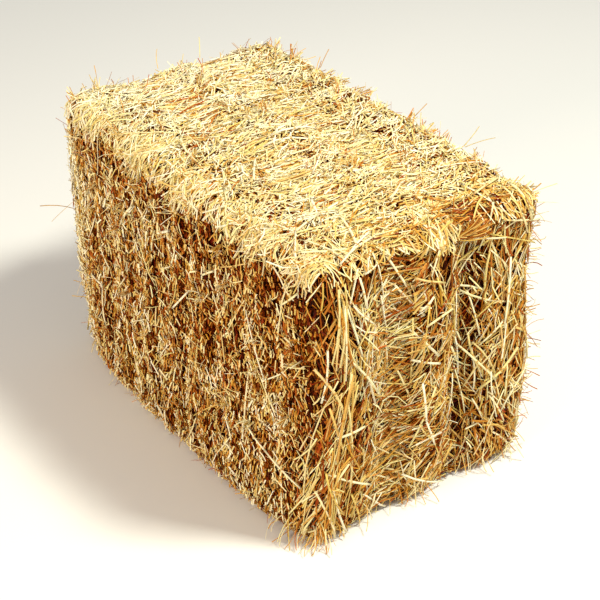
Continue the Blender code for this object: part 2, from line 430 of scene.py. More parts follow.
CUT_POCKETS = (
    (-0.150, 0.371),
    (-0.010, 0.365),
    (0.100, 0.360),
    (0.158, 0.377),
    (0.240, 0.384),
    (0.306, 0.386),
)  # X and Z of the dark hollows under the top edge
POCKET_REACH = (0.020, 0.015)
CUT_BROWN = ((0.215, 0.315), (0.150, 0.205), (0.300, 0.130))  # X and Z of the rust brown patches
BROWN_REACH = (0.035, 0.050)
CUT_COLUMNS = np.array((0.015, 1.0, 0.060))  # shreds of one stroke of the knife stand in columns


def near_seam(places):
    """From 0 in the middle of a flake to 1 at the seams."""
    beyond = (places[..., 0] - first_seam) / flake_thickness
    return np.abs((beyond % 1.0) - 0.5) * 2


def cut_pocket(places, chance):
    """Fewer shreds in the hollows of the cut side, which lie along the seams and under the top edge."""
    thin = 0.30 * near_seam(places) ** 3 + 0.25 * ripple(places, CUT_COLUMNS, 8)
    thin = np.maximum(thin, 0.92 * spots(places[:, [0, 2]], CUT_POCKETS, POCKET_REACH))
    return chance.random(len(places)) > thin


def cut_shade(places):
    """Columns of paler and darker shreds, gold at the far end, and painted shade under the top edge."""
    far = np.exp(-((places[:, 0] + half_length) / 0.055) ** 2)
    near = np.exp(-((places[:, 0] - half_length) / 0.035) ** 2)
    # Painted shade just under the top edge, where the fringe hangs over it.
    under = np.exp(-((places[:, 2] - 0.370) / 0.022) ** 2)
    brown = spots(places[:, [0, 2]], CUT_BROWN, BROWN_REACH)
    columns = ripple(places, CUT_COLUMNS, 7)
    return 0.10 * columns + 0.33 * far - 0.20 * near - 0.10 * under - 0.14 * brown


# Crushed straw deep inside, drawn dark behind all the rest as painted shade.
lay("cut_side", count=7000, seed=11, grain=UP, turn=0.20, length=(0.015, 0.040), width=(0.0025, 0.0040),
    depth=(-0.010, -0.005), tone=(0.06, 0.28), swirl=0.15, follow=1.0)
# The wall of shreds, with painted shade that darkens its back.
lay("cut_side", count=15000, seed=12, grain=UP, turn=0.24, length=(0.006, 0.016), width=(0.0014, 0.0028),
    depth=(-0.006, -0.001), tone=(0.13, 0.53), swirl=0.18, shade=cut_shade, tilt=0.15, where=cut_pocket)
# Its paler front.
lay("cut_side", count=10500, seed=13, grain=UP, turn=0.27, length=(0.005, 0.012), width=(0.0013, 0.0029),
    depth=(-0.003, 0.002), tone=(0.35, 0.88), swirl=0.18, shade=cut_shade, tilt=0.30, sides=3,
    where=cut_pocket)
# Cut ends that point out of it.
lay("cut_side", count=3600, seed=16, grain=UP, turn=0.40, length=(0.004, 0.011), width=(0.0011, 0.0024),
    depth=(-0.004, 0.000), tone=(0.36, 0.90), shade=cut_shade, tilt=0.5, lift=0.8, stations=(0.0, 1.0),
    sides=3, where=cut_pocket)
# Bleached shreds here and there.
lay("cut_side", count=650, seed=14, grain=UP, turn=0.45, length=(0.010, 0.024), width=(0.0014, 0.0030),
    depth=(0.0, 0.003), tone=(0.74, 1.0), swirl=0.3, shade=cut_shade, tilt=0.25, sides=3, bow=0.4,
    stations=(-0.5, 0.1, 0.5))
# Long strays across the wall.
lay("cut_side", count=60, seed=15, grain=UP, turn=0.50, length=(0.040, 0.090), width=(0.0014, 0.0026),
    depth=(0.001, 0.003), tone=(0.62, 0.96), follow=0.7, tilt=0.04, bow=0.25, sides=5,
    stations=(-0.5, -0.2, 0.15, 0.5))

# The fringe.
# Bleached stalks of the top, bent over the edge of the cut side by handling and rain. They hang
# thickest where a flake stands proud.

FRINGE_STALKS = 600
FRINGE_CLUMPS = (-0.245, -0.100, 0.030, 0.190, 0.285)  # half of them hang in clumps at these X
CLUMP_SPREAD = 0.014
chance = np.random.default_rng(71)
count = FRINGE_STALKS
in_clump = chance.random(count) < 0.5
clump_x = chance.choice(FRINGE_CLUMPS, count) + chance.normal(0, CLUMP_SPREAD, count)
x = np.where(in_clump, clump_x, chance.uniform(-half_length + 0.01, half_length - 0.01, count))
drop = chance.uniform(0.004, 0.034, count) * np.where(in_clump, 1.3, 0.8)
starts = on_bale(x + chance.normal(0, 0.014, count), chance.uniform(-0.180, -0.140, count), 0.44, 0.001)
pulls = on_bale(x, -0.230, 0.450, chance.uniform(0.004, 0.014, count))
foot_x = x + chance.normal(0, 0.019, count)
ends = on_bale(foot_x, -0.230, BALE_HEIGHT - drop, chance.uniform(0.001, 0.007, count))
drape(starts, pulls, ends, seed=72, width=(0.0012, 0.0028), tone=(0.62, 1.0), bow=0.35)

# The folded side.
# Here the baler's feeding arms fold the stalks round instead of cutting them, so they lie whole and
# flat, mostly upright, with their joints.

# Crushed straw behind all the rest, drawn dark as painted shade.
lay("folded_side", count=3500, seed=21, grain=UP, turn=0.45, length=(0.020, 0.060),
    width=(0.0030, 0.0050), depth=(-0.010, -0.006), tone=(0.0, 0.24), swirl=0.3, follow=1.0)
# Flat stalks below the surface.
lay("folded_side", count=4200, seed=22, grain=UP, turn=0.40, length=(0.020, 0.060),
    width=(0.0018, 0.0034), depth=(-0.006, -0.001), tone=(0.14, 0.62), swirl=0.5, blotch=0.10,
    follow=0.9, sides=3)
# The stalks that are seen.
lay("folded_side", count=3600, seed=23, grain=UP, turn=0.40, length=(0.020, 0.070),
    width=(0.0014, 0.0030), depth=(-0.003, 0.002), tone=(0.40, 1.0), swirl=0.5, blotch=0.10, follow=0.8,
    tilt=0.06, bow=0.3, sides=3, stations=(-0.5, 0.0, 0.5))
# Whole stalks with their joints.
lay("folded_side", count=220, seed=24, grain=UP, turn=0.60, length=(0.050, 0.120),
    width=(0.0026, 0.0042), depth=(0.0, 0.003), tone=(0.60, 1.0), follow=0.9, tilt=0.03, bow=0.2,
    sides=6, flatness=0.6, stations=JOINTED)

# The top.
# Stalks laid across the bale as the flakes were filled, tangled and bleached by the sun, with small
# dark gaps down to the straw below and patches of rust brown sheaths.

GAP_PITCH = 0.008
GAP_SHARE = 0.62  # the most stalks that a gap leaves out
RUST_PITCH = 0.024
RUST_LEVEL = 0.75  # the height of the ripple above which its patches are rusty
FOLDED_CORNER = ((0.300, 0.075),)  # X and Y of the browner corner over the open groove
FOLDED_REACH = (0.050, 0.070)


def top_gap(places, chance):
    """Leave small gaps between the bleached stalks, down to the dark straw under them."""
    return chance.random(len(places)) > np.clip(0.70 * ripple(places, GAP_PITCH, 9), 0, GAP_SHARE)


def rust_patch(places, chance):
    """Patches of unbleached sheaths."""
    return ripple(places, RUST_PITCH, 6) > RUST_LEVEL


def top_grain(places):
    """Across the bale near its near end, and more and more slanted towards the far one."""
    slant = np.interp(places[:, 0], (0.0, 0.25), (0.42, 0.10))
    return np.stack([-np.sin(slant), np.cos(slant), np.zeros(len(places))], -1)


def top_shade(places):
    """Palest at the far end, browner along the near edge, and most of all at its folded corner."""
    edge = np.clip((places[:, 0] - 0.235) / 0.07, 0, 1)
    far = np.clip((-0.10 - places[:, 0]) / 0.10, 0, 1)
    corner = spots(places[:, :2], FOLDED_CORNER, FOLDED_REACH)
    return 0.06 * far - 0.15 * edge - 0.28 * corner


# Crushed straw behind all the rest, drawn dark as painted shade.
lay("top", count=5000, seed=31, grain=ACROSS, turn=0.60, length=(0.015, 0.045), width=(0.0028, 0.0045),
    depth=(-0.010, -0.005), tone=(0.06, 0.34), swirl=0.4, follow=1.0)
# Darker straw that shows in the gaps: browner than the bleached top, and darker still as painted shade.
lay("top", count=5000, seed=32, grain=top_grain, turn=0.70, length=(0.012, 0.032),
    width=(0.0016, 0.0030), depth=(-0.006, -0.002), tone=(0.16, 0.60), swirl=0.3, blotch=0.12,
    shade=top_shade, follow=0.9, sides=3, where=top_gap)
# Bleached shreds.
lay("top", count=11000, seed=33, grain=top_grain, turn=0.80, length=(0.006, 0.017),
    width=(0.0012, 0.0026), depth=(-0.003, 0.002), tone=(0.64, 1.0), swirl=0.6, blotch=0.12,
    shade=top_shade, tilt=0.18, sides=3, where=top_gap)
# Ends that point up and out.
lay("top", count=3800, seed=38, grain=top_grain, turn=0.80, length=(0.006, 0.016),
    width=(0.0011, 0.0022), depth=(-0.003, 0.001), tone=(0.64, 1.0), shade=top_shade, tilt=0.4,
    lift=0.35, stations=(0.0, 1.0), sides=3, where=top_gap)
# Longer bleached stalks.
lay("top", count=500, seed=34, grain=top_grain, turn=0.70, length=(0.026, 0.065), width=(0.0014, 0.0028),
    depth=(-0.001, 0.003), tone=(0.68, 1.0), swirl=0.4, shade=top_shade, follow=0.8, tilt=0.05, bow=0.35,
    sides=3, stations=(-0.5, 0.0, 0.5))
# Rust brown sheaths.
lay("top", count=3000, seed=37, grain=top_grain, turn=0.90, length=(0.006, 0.018),
    width=(0.0016, 0.0040), depth=(-0.001, 0.002), tone=(0.34, 0.68), shade=top_shade, tilt=0.2,
    where=rust_patch)
# Whole stalks with their joints.
lay("top", count=70, seed=35, grain=ACROSS, turn=0.60, length=(0.050, 0.100), width=(0.0020, 0.0032),
    depth=(0.002, 0.004), tone=(0.76, 1.0), follow=0.9, tilt=0.02, bow=0.2, sides=6, flatness=0.6,
    stations=JOINTED)

# The bottom.
# Stalks pressed and dragged flat along the baler's floor. Nothing reaches below the plane that the
# bale rests on.

# Crushed straw behind all the rest, drawn dark as painted shade.
lay("bottom", count=3000, seed=41, grain=ACROSS, turn=0.50, length=(0.020, 0.060),
    width=(0.0030, 0.0050), depth=(-0.008, -0.004), tone=(0.0, 0.30), swirl=0.4, follow=1.0)
# Flat stalks that the bale rests on.
lay("bottom", count=5200, seed=42, grain=ACROSS, turn=0.50, length=(0.020, 0.060),
    width=(0.0018, 0.0036), depth=(-0.004, -0.0005), tone=(0.25, 0.85), swirl=0.6, blotch=0.12, sides=3)

# The two ends.
# The flat of the first and the last flake: long whole stalks that lie in its plane, steep and
# crossing, over a fine tangle. A twine has sunk into each of the two grooves down it.

GROOVE_LINE = (0.066, -0.13)  # Y of the open groove at the floor, and how it leans with height
GROOVE_SPREAD = 0.011  # half the width of its dark bottom
RECESS_HEIGHT = 0.400
RECESS_SPREAD = 0.014
RECESS_MIDDLE = -0.075
RECESS_HALF = 0.055
END_HOLLOWS = ((0.024, 0.386), (0.075, 0.352), (-0.130, 0.225), (-0.012, 0.268), (0.040, 0.075))
HOLLOW_REACH = (0.013, 0.013)
END_PALE = ((-0.085, 0.340), (-0.075, 0.220))
PALE_REACH = (0.035, 0.070)
# The first two are brown patches; the last three lie by the open groove as painted shade.
END_BROWN_AND_GROOVE_SHADE = ((0.000, 0.200), (0.000, 0.310), (0.035, 0.340), (0.050, 0.240), (0.060, 0.120))
END_BROWN_AND_GROOVE_SHADE_REACH = (0.026, 0.060)
# Painted shade under the top edge, below the stalks of the top that hang over it.
SHADE_UNDER_TOP = ((-0.110, 0.390), (-0.060, 0.405), (-0.020, 0.395), (0.018, 0.382))
SHADE_UNDER_REACH = (0.035, 0.022)
TWINE_OFFSET = 0.057
TWINE_BARE = 0.006  # half of the strip along each twine that is left bare on the far end
KNOT_HEIGHT = 0.255
KNOT_BARE = 0.009  # that half is this much more round a knot
CROSSING_SHARE = 0.04  # the share of the stalks across that strip that stay


def as_near_end(places):
    """Y and Z as seen on the near end; the far end is the same, turned half a circle."""
    return np.stack([places[:, 1] * np.sign(places[:, 0]), places[:, 2]], -1)


def end_hollow(places, chance):
    """Fewer stalks in the dark hollows of an end: its open groove and the recess under its top edge."""
    seen = as_near_end(places)
    across = (seen[:, 0] - GROOVE_LINE[0] - GROOVE_LINE[1] * seen[:, 1]) / GROOVE_SPREAD
    recess = np.exp(-((seen[:, 1] - RECESS_HEIGHT) / RECESS_SPREAD) ** 2)
    recess = recess * (np.abs(seen[:, 0] - RECESS_MIDDLE) < RECESS_HALF)
    thin = 0.60 * np.maximum(np.exp(-across ** 2), recess)
    thin = np.maximum(thin, 0.85 * spots(seen, END_HOLLOWS, HOLLOW_REACH)) + 0.40 * ripple(places, 0.011, 10)
    return chance.random(len(places)) > thin


def off_twine(path, chance):
    """Leave out most stalks of the far end that cross a twine, most of all round its knot."""
    beside = np.abs(path[..., 1]) - TWINE_OFFSET
    bare = TWINE_BARE + KNOT_BARE * np.exp(-((path[..., 2].mean(1) - KNOT_HEIGHT) / 0.022) ** 2)
    crosses = (beside.min(1) < bare) & (beside.max(1) > -bare) & (path[:, 0, 0] < 0)
    return ~crosses | (chance.random(len(path)) < CROSSING_SHARE)


def end_grain(places):
    """Stalks stand upright near the corners of an end and lie across its middle."""
    lean = 0.8 * np.exp(-((places[:, 1] * np.sign(places[:, 0]) + 0.035) / 0.055) ** 2)
    return np.stack([np.zeros(len(places)), np.sin(lean), np.cos(lean)], -1)


def end_shade(places):
    """Paler left of the middle; painted shade in the groove and under the top; browner at foot and near
    edge.
    """
    seen = as_near_end(places)
    pale = spots(seen, END_PALE, PALE_REACH)
    brown = spots(seen, END_BROWN_AND_GROOVE_SHADE, END_BROWN_AND_GROOVE_SHADE_REACH)
    # Painted shade under the top edge and down the line of the open groove.
    under = spots(seen, SHADE_UNDER_TOP, SHADE_UNDER_REACH)
    groove = np.exp(-((seen[:, 0] - GROOVE_LINE[0] - GROOVE_LINE[1] * seen[:, 1]) / 0.013) ** 2)
    right = np.clip((seen[:, 0] - 0.08) / 0.05, 0, 1)
    foot = np.exp(-seen[:, 1] / 0.05)
    near = np.exp(-((seen[:, 0] + 0.17) / 0.052) ** 2)
    darker = np.maximum(0.12 * brown, 0.26 * under)
    return 0.05 * pale - darker - 0.06 * groove - 0.09 * right - 0.06 * foot - 0.26 * near


for end, seed in (("near_end", 510), ("far_end", 610)):
    # Crushed straw behind all the rest, drawn dark as painted shade.
    lay(end, count=2300, seed=seed + 1, grain=UP, turn=0.60, length=(0.020, 0.055),
        width=(0.0030, 0.0048), depth=(-0.010, -0.006), tone=(0.0, 0.18), swirl=0.4, follow=1.0,
        clear=off_twine)
    # Fine tangle.
    lay(end, count=3800, seed=seed + 2, grain=end_grain, turn=0.55, length=(0.010, 0.036),
        width=(0.0012, 0.0025), depth=(-0.006, -0.001), tone=(0.16, 0.66), swirl=0.4, blotch=0.12,
        shade=end_shade, sides=3, follow=0.6, where=end_hollow, clear=off_twine)
    # The stalks that are seen.
    lay(end, count=2500, seed=seed + 3, grain=end_grain, turn=0.48, length=(0.012, 0.060),
        width=(0.0012, 0.0029), depth=(-0.003, 0.002), tone=(0.38, 1.0), swirl=0.4, blotch=0.08,
        shade=end_shade, follow=0.75, tilt=0.07, bow=0.18, sides=3, stations=(-0.5, 0.0, 0.5),
        where=end_hollow, clear=off_twine)
    # Torn sheaths.
    lay(end, count=380, seed=seed + 5, grain=end_grain, turn=0.50, length=(0.014, 0.036),
        width=(0.0024, 0.0046), depth=(-0.002, 0.001), tone=(0.50, 0.74), swirl=0.6, shade=end_shade,
        follow=0.8, tilt=0.05, where=end_hollow, clear=off_twine)
    # Whole stalks with their joints.
    lay(end, count=110, seed=seed + 4, grain=UP, turn=0.50, length=(0.050, 0.110),
        width=(0.0020, 0.0036), depth=(0.0, 0.004), tone=(0.60, 1.0), swirl=0.4, follow=0.6, tilt=0.03,
        bow=0.15, sides=6, flatness=0.55, stations=JOINTED, where=end_hollow, clear=off_twine)

# The corners of the near end.
# Long straight stalks fan down its near edge from three tufts, a sheaf sticks out of its top right
# corner, and stalks of the top hang over its top edge and into the groove.


def near_edge(step, z, height):
    """Places at a step round from the near edge: onto the end if it is positive, else onto the cut side."""
    x = np.where(step >= 0, 0.36, half_length + 0.010 + step)
    y = np.where(step >= 0, step - 0.200, -0.250)
    return on_bale(x, y, z, height)


def midway(starts, ends, height):
    """The middle of each stalk, held this far off the bale."""
    middles = (starts + ends) / 2
    return middles + outward_of(middles) * height


FANS = (
    (0.378, 0.050, 0.275, 0.030, 0.050, 20),
    (0.250, 0.060, 0.085, 0.014, 0.052, 24),
    (0.150, 0.048, 0.004, -0.002, 0.046, 34),
)  # height and step of each tuft, height and step of its feet, how far they spread, and how many stalks
for number, (top, step, foot, foot_step, reach, count) in enumerate(FANS):
    chance = np.random.default_rng(80 + number)
    starts = near_edge(step + chance.normal(0, 0.010, count), top + chance.normal(0, 0.028, count), 0.002)
    foot_steps = foot_step + chance.uniform(-1, 1, count) * reach
    foot_heights = foot + chance.uniform(-0.004, 0.070, count)
    ends = near_edge(foot_steps, foot_heights, chance.uniform(0.001, 0.007, count))
    drape(starts, midway(starts, ends, 0.003), ends, seed=84 + number, width=(0.0014, 0.0032),
          tone=(0.42, 0.84), bow=0.12, sides=5, jointed=True)

SHEAF_STALKS = 70
SHEAF_FOOT = (0.036, 0.403)  # Y and Z where the sheaf comes out of the end
chance = np.random.default_rng(90)
count = SHEAF_STALKS
swing = chance.uniform(-0.30, 0.95, count)
reach = chance.uniform(0.026, 0.056, count)
sheaf_y = SHEAF_FOOT[0] + chance.normal(0, 0.005, count)
starts = on_bale(0.40, sheaf_y, SHEAF_FOOT[1] + chance.normal(0, 0.004, count), 0.002)
ends = starts + np.stack([0.004 + 0 * swing, np.cos(swing) * reach, np.sin(swing) * reach * 0.62], -1)
ends = ends + chance.normal(0, 0.004, ends.shape)
drape(starts, (starts + ends) / 2 + (0.007, 0, 0.002), ends, seed=91, width=(0.0009, 0.0020),
      tone=(0.30, 0.62), bow=0.25)

OVERHANG_STALKS = 190
OVERHANG_CLUMP = 0.004  # Y where most of them hang together, over the open groove
chance = np.random.default_rng(92)
count = OVERHANG_STALKS
clumped = chance.random(count) < 0.22
y = np.where(clumped, chance.normal(OVERHANG_CLUMP, 0.006, count), chance.uniform(-0.165, 0.165, count))
in_clump = np.abs(y - OVERHANG_CLUMP) < 0.014
fall = np.where(in_clump, chance.uniform(0.008, 0.034, count), chance.uniform(0.004, 0.022, count))
starts = on_bale(chance.uniform(0.250, 0.315, count), y + chance.normal(0, 0.006, count), 0.45, 0.001)
pulls = on_bale(0.360, y, 0.455, chance.uniform(0.004, 0.012, count))
end_y = y + chance.normal(0, 0.008, count)
ends = on_bale(0.360, end_y, BALE_HEIGHT - fall, chance.uniform(0.002, 0.008, count))
drape(starts, pulls, ends, seed=93, width=(0.0012, 0.0028), tone=(0.48, 0.96), bow=0.3)

# Single stalks.
# The long pale stalks that catch the eye, each lying over the rest: on the near end as (Y, Z, Y, Z,
# width), on the cut side as (X, Z, X, Z, width) and on the top as (X, Y, X, Y, width).

ON_END = (
    (-0.147, 0.369, -0.148, 0.264, 0.0032),
    (-0.143, 0.363, -0.090, 0.197, 0.0030),
    (-0.134, 0.364, -0.099, 0.324, 0.0024),
    (-0.123, 0.402, -0.114, 0.354, 0.0028),
    (-0.115, 0.407, -0.091, 0.427, 0.0030),
    (-0.085, 0.357, -0.066, 0.282, 0.0028),
    (-0.073, 0.283, -0.059, 0.223, 0.0032),
    (-0.059, 0.223, -0.060, 0.149, 0.0044),
    (-0.068, 0.406, -0.042, 0.353, 0.0040),
    (-0.087, 0.365, -0.057, 0.383, 0.0032),
    (-0.043, 0.297, 0.006, 0.238, 0.0036),
    (-0.028, 0.316, -0.008, 0.332, 0.0030),
    (-0.019, 0.292, 0.028, 0.300, 0.0030),
    (-0.034, 0.243, 0.009, 0.225, 0.0032),
    (-0.022, 0.208, -0.013, 0.143, 0.0030),
    (-0.013, 0.143, 0.007, 0.095, 0.0028),
    (0.027, 0.244, 0.060, 0.196, 0.0034),
    (0.052, 0.229, 0.111, 0.158, 0.0034),
    (0.040, 0.321, 0.046, 0.246, 0.0026),
    (0.054, 0.191, 0.073, 0.110, 0.0032),
    (0.029, 0.127, 0.051, 0.181, 0.0028),
    (0.066, 0.305, 0.086, 0.233, 0.0028),
    (0.084, 0.217, 0.119, 0.252, 0.0028),
    (0.117, 0.240, 0.127, 0.340, 0.0034),
    (0.076, 0.215, 0.082, 0.149, 0.0026),
    (0.104, 0.133, 0.133, 0.080, 0.0026),
    (-0.157, 0.178, -0.113, 0.177, 0.0032),
    (0.051, 0.388, 0.115, 0.373, 0.0032),
)
ON_CUT_SIDE = (
    (-0.244, 0.286, -0.100, 0.318, 0.0034),
    (-0.117, 0.309, -0.090, 0.338, 0.0034),
    (-0.191, 0.230, -0.166, 0.200, 0.0022),
    (-0.037, 0.324, -0.043, 0.290, 0.0028),
    (-0.030, 0.323, 0.004, 0.343, 0.0036),
    (0.011, 0.227, 0.059, 0.279, 0.0034),
    (-0.232, 0.159, -0.187, 0.165, 0.0026),
    (-0.190, 0.160, -0.183, 0.096, 0.0026),
    (0.087, 0.316, 0.114, 0.335, 0.0030),
    (0.182, 0.311, 0.225, 0.229, 0.0028),
    (0.188, 0.223, 0.186, 0.132, 0.0022),
    (0.186, 0.143, 0.231, 0.119, 0.0026),
    (0.228, 0.121, 0.300, 0.092, 0.0026),
    (0.242, 0.174, 0.270, 0.168, 0.0028),
    (0.258, 0.066, 0.263, 0.015, 0.0024),
    (0.249, 0.350, 0.283, 0.384, 0.0028),
)
ON_TOP = (
    (0.157, -0.080, 0.206, -0.105, 0.0034),
    (0.201, -0.072, 0.295, -0.106, 0.0032),
    (0.035, -0.047, 0.068, -0.050, 0.0036),
    (0.087, -0.119, 0.014, -0.066, 0.0030),
    (0.198, -0.062, 0.173, -0.021, 0.0030),
    (0.222, -0.153, 0.200, -0.099, 0.0034),
)
end_rows, cut_rows, top_rows = np.array(ON_END), np.array(ON_CUT_SIDE), np.array(ON_TOP)
starts = np.concatenate([
    on_bale(0.40, end_rows[:, 0], end_rows[:, 1], 0.004),
    on_bale(cut_rows[:, 0], -0.25, cut_rows[:, 1], 0.003),
    on_bale(top_rows[:, 0], top_rows[:, 1], 0.48, 0.003),
])
ends = np.concatenate([
    on_bale(0.40, end_rows[:, 2], end_rows[:, 3], 0.004),
    on_bale(cut_rows[:, 2], -0.25, cut_rows[:, 3], 0.004),
    on_bale(top_rows[:, 2], top_rows[:, 3], 0.48, 0.003),
])
single_widths = np.concatenate([end_rows[:, 4], cut_rows[:, 4], top_rows[:, 4]])
drape(starts, midway(starts, ends, 0.004), ends, seed=95, width=(single_widths, single_widths),
      tone=(0.82, 0.98), bow=0.06, sides=6, jointed=True)

# Straw over the twines.
# The twines sink into the straw when the bale swells against them, and stalks that spring back over
# them bridge their grooves. One groove of the near end and both of the far one stay open.

GROOVE_HALF = 0.022  # half the width of the strip over a groove


def over_groove(places, chance):
    """The strip over either twine."""
    return np.abs(np.abs(places[:, 1]) - TWINE_OFFSET) < GROOVE_HALF


def over_left_groove(places, chance):
    """The strip over the groove that lies on the left of each end as it is seen."""
    return np.abs(places[:, 1] * np.sign(places[:, 0]) + TWINE_OFFSET) < GROOVE_HALF


# Whole stalks across the grooves of the top.
lay("top", count=3600, seed=36, grain=ACROSS, turn=0.40, length=(0.045, 0.080), width=(0.0014, 0.0028),
    depth=(-0.004, 0.0), tone=(0.30, 0.90), swirl=0.3, shade=top_shade, bow=0.2, sides=3,
    stations=(-0.5, 0.0, 0.5), where=over_groove, bridge=1.0)
# Bleached ones that close its surface over them.
lay("top", count=12000, seed=39, grain=top_grain, turn=0.80, length=(0.050, 0.080),
    width=(0.0012, 0.0026), depth=(-0.002, 0.002), tone=(0.64, 1.0), swirl=0.5, shade=top_shade, sides=3,
    where=over_groove, bridge=0.26)
# Whole stalks across the closed groove of the near end.
lay("near_end", count=1300, seed=515, grain=ACROSS, turn=0.60, length=(0.045, 0.085),
    width=(0.0012, 0.0028), depth=(-0.006, 0.0), tone=(0.20, 0.80), swirl=0.4, shade=end_shade, bow=0.2,
    sides=3, stations=(-0.5, 0.0, 0.5), where=over_left_groove, bridge=1.0)
# Paler ones that close its surface over it.
lay("near_end", count=3000, seed=516, grain=ACROSS, turn=1.10, length=(0.045, 0.085),
    width=(0.0012, 0.0028), depth=(-0.003, 0.001), tone=(0.32, 0.94), swirl=0.2, shade=end_shade,
    sides=3, where=over_left_groove, bridge=0.40)
# Stalks across the grooves of the bottom.
lay("bottom", count=500, seed=43, grain=ACROSS, turn=0.50, length=(0.045, 0.085), width=(0.0020, 0.0036),
    depth=(-0.002, 0.0), tone=(0.30, 0.80), sides=3, where=over_groove, bridge=1.0)
# Short straw that lines the grooves of the far end.
lay("far_end", count=4500, seed=616, grain=UP, turn=0.22, length=(0.008, 0.024), width=(0.0012, 0.0026),
    depth=(-0.004, -0.0005), tone=(0.14, 0.66), follow=1.0, sides=3, where=over_groove)
# A few stalks across them.
lay("far_end", count=45, seed=615, grain=ACROSS, turn=0.60, length=(0.045, 0.090),
    width=(0.0018, 0.0032), depth=(-0.004, 0.0), tone=(0.40, 0.90), bow=0.3, sides=3,
    stations=(-0.5, 0.0, 0.5), where=over_groove, bridge=1.0)

# The foot of the bale.
# Stalks squeezed out along its lower edges by its own weight lie out on the ground, most of all at
# the near corner.

FOOT_STALKS = 300
CORNER_STALKS = 46  # this many of them lie at the near corner
CORNER_TURN = -0.56  # the way to that corner from the middle of the bale, in radians
chance = np.random.default_rng(140)
count = FOOT_STALKS
turn = chance.uniform(0, 2 * math.pi, count)
turn[:CORNER_STALKS] = chance.normal(CORNER_TURN, 0.06, CORNER_STALKS)
reach = chance.uniform(0.001, 0.013, count)
reach[:CORNER_STALKS] += chance.uniform(0.001, 0.012, CORNER_STALKS)
far = np.stack([np.cos(turn), np.sin(turn)], -1)
far /= np.maximum(np.abs(far[:, 0]) / half_length, np.abs(far[:, 1]) / BALE_HALF_WIDTH)[:, None]
starts = on_bale(far[:, 0] * 1.1, far[:, 1] * 1.1, chance.uniform(0.006, 0.050, count), -0.002)
away = unit(outward_of(starts) * (1, 1, 0)) * reach[:, None]
ends = starts + away + chance.normal(0, 0.009, (count, 3))
ends[:, 2] = chance.uniform(0.001, 0.008, count)
drape(starts, (starts + ends) / 2 + away * 0.4, ends, seed=141, width=(0.0008, 0.0020), tone=(0.40, 0.90),
      bow=0.35)

# Tufts and strays.
# Handling pulls bunches of stalks out of the flakes, one at each tuft of the solids, and single thin
# ones stand off all round.

STALKS_PER_TUFT = 9
for number, name in enumerate(flake_names):
    places, faces, feet, tips = flake_mesh(name)
    chance = np.random.default_rng(100 + number)
    starts = np.repeat(feet, STALKS_PER_TUFT, axis=0)
    ends = np.repeat(tips, STALKS_PER_TUFT, axis=0)
    starts = starts - outward_of(starts) * 0.006 + chance.normal(0, 0.005, starts.shape)
    ends = ends + chance.normal(0, 0.005, ends.shape)
    ends[::STALKS_PER_TUFT] = tips
    pulls = (starts + ends) / 2 + chance.normal(0, 0.003, starts.shape)
    drape(starts, pulls, ends, seed=120 + number, width=(0.0012, 0.0024), tone=(0.45, 0.96), points=4)

EDGE_STRAYS = 130  # the near end's far edge is the most frayed
STRAY_LIMIT = 0.216  # the furthest Y that a stray reaches
chance = np.random.default_rng(150)
starts = on_bale(0.36, 0.24, chance.uniform(0.010, 0.400, EDGE_STRAYS), -0.002)
starts[:, 0] -= chance.uniform(0.0, 0.012, EDGE_STRAYS)
lean_x = chance.normal(0.35, 0.35, EDGE_STRAYS)
lean = np.stack([lean_x, np.full(EDGE_STRAYS, 0.8), chance.normal(-0.25, 0.65, EDGE_STRAYS)], -1)
ends = starts + unit(lean) * chance.uniform(0.008, 0.034, (EDGE_STRAYS, 1))
ends[:, 1] = np.minimum(ends[:, 1], STRAY_LIMIT)
ends[:, 2] = np.maximum(ends[:, 2], 0.002)
pulls = (starts + ends) / 2 + chance.normal(0, 0.004, starts.shape)
drape(starts, pulls, ends, seed=151, width=(0.0008, 0.0018), tone=(0.26, 0.84), bow=0.5)

LONG_STRAYS = (
    (-0.305, -0.181, 0.232, -0.330, -0.226, 0.240, 0.0016),
    (-0.300, -0.181, 0.250, -0.318, -0.215, 0.215, 0.0012),
    (0.155, 0.178, 0.420, 0.170, 0.190, 0.452, 0.0016),
    (0.158, 0.178, 0.420, 0.190, 0.202, 0.440, 0.0016),
    (0.050, 0.176, 0.422, 0.064, 0.188, 0.446, 0.0014),
    (-0.160, 0.170, 0.425, -0.150, 0.178, 0.456, 0.0014),
    (-0.290, 0.040, 0.428, -0.300, 0.046, 0.456, 0.0014),
    (-0.296, -0.030, 0.425, -0.306, -0.024, 0.452, 0.0014),
    (-0.300, -0.130, 0.418, -0.318, -0.124, 0.446, 0.0014),
    (0.296, 0.172, 0.412, 0.312, 0.200, 0.424, 0.0018),
    (0.300, 0.170, 0.400, 0.320, 0.198, 0.400, 0.0016),
)  # where each of the strays that show against the ground starts and ends, and its width
rows = np.array(LONG_STRAYS)
starts, ends, stray_widths = rows[:, :3], rows[:, 3:6], rows[:, 6]
drape(starts, (starts + ends) / 2 + (0.002, 0.0, 0.004), ends, seed=152, width=(stray_widths, stray_widths),
      tone=(0.55, 0.92), bow=0.15)

SHORT_STRAYS = (
    ("top", 700, 131),
    ("cut_side", 420, 132),
    ("folded_side", 520, 133),
    ("near_end", 300, 134),
    ("far_end", 300, 135),
)
for side, count, seed in SHORT_STRAYS:
    grain = ACROSS if side == "top" else UP
    lay(side, count=count, seed=seed, grain=grain, turn=1.5, length=(0.010, 0.026),
        width=(0.0007, 0.0015), depth=(-0.001, 0.001), tone=(0.32, 0.95), tilt=0.5, lift=0.8, bow=0.6,
        sides=3, stations=(0.0, 0.5, 1.0))


# The straw itself, as a material.
# Ripe wheat straw dried in the sun: a waxy, finely ribbed skin, pale cream where it is bleached and
# rust brown where it is not, with a dark ring at each joint. It gives a soft gloss along the stalks.


def from_hex(code):
    """An sRGB hex colour as linear numbers with alpha."""
    linear = []
    for place in (0, 2, 4):
        level = int(code[place:place + 2], 16) / 255
        linear.append(level / 12.92 if level <= 0.04045 else ((level + 0.055) / 1.055) ** 2.4)
    return tuple(linear) + (1.0,)


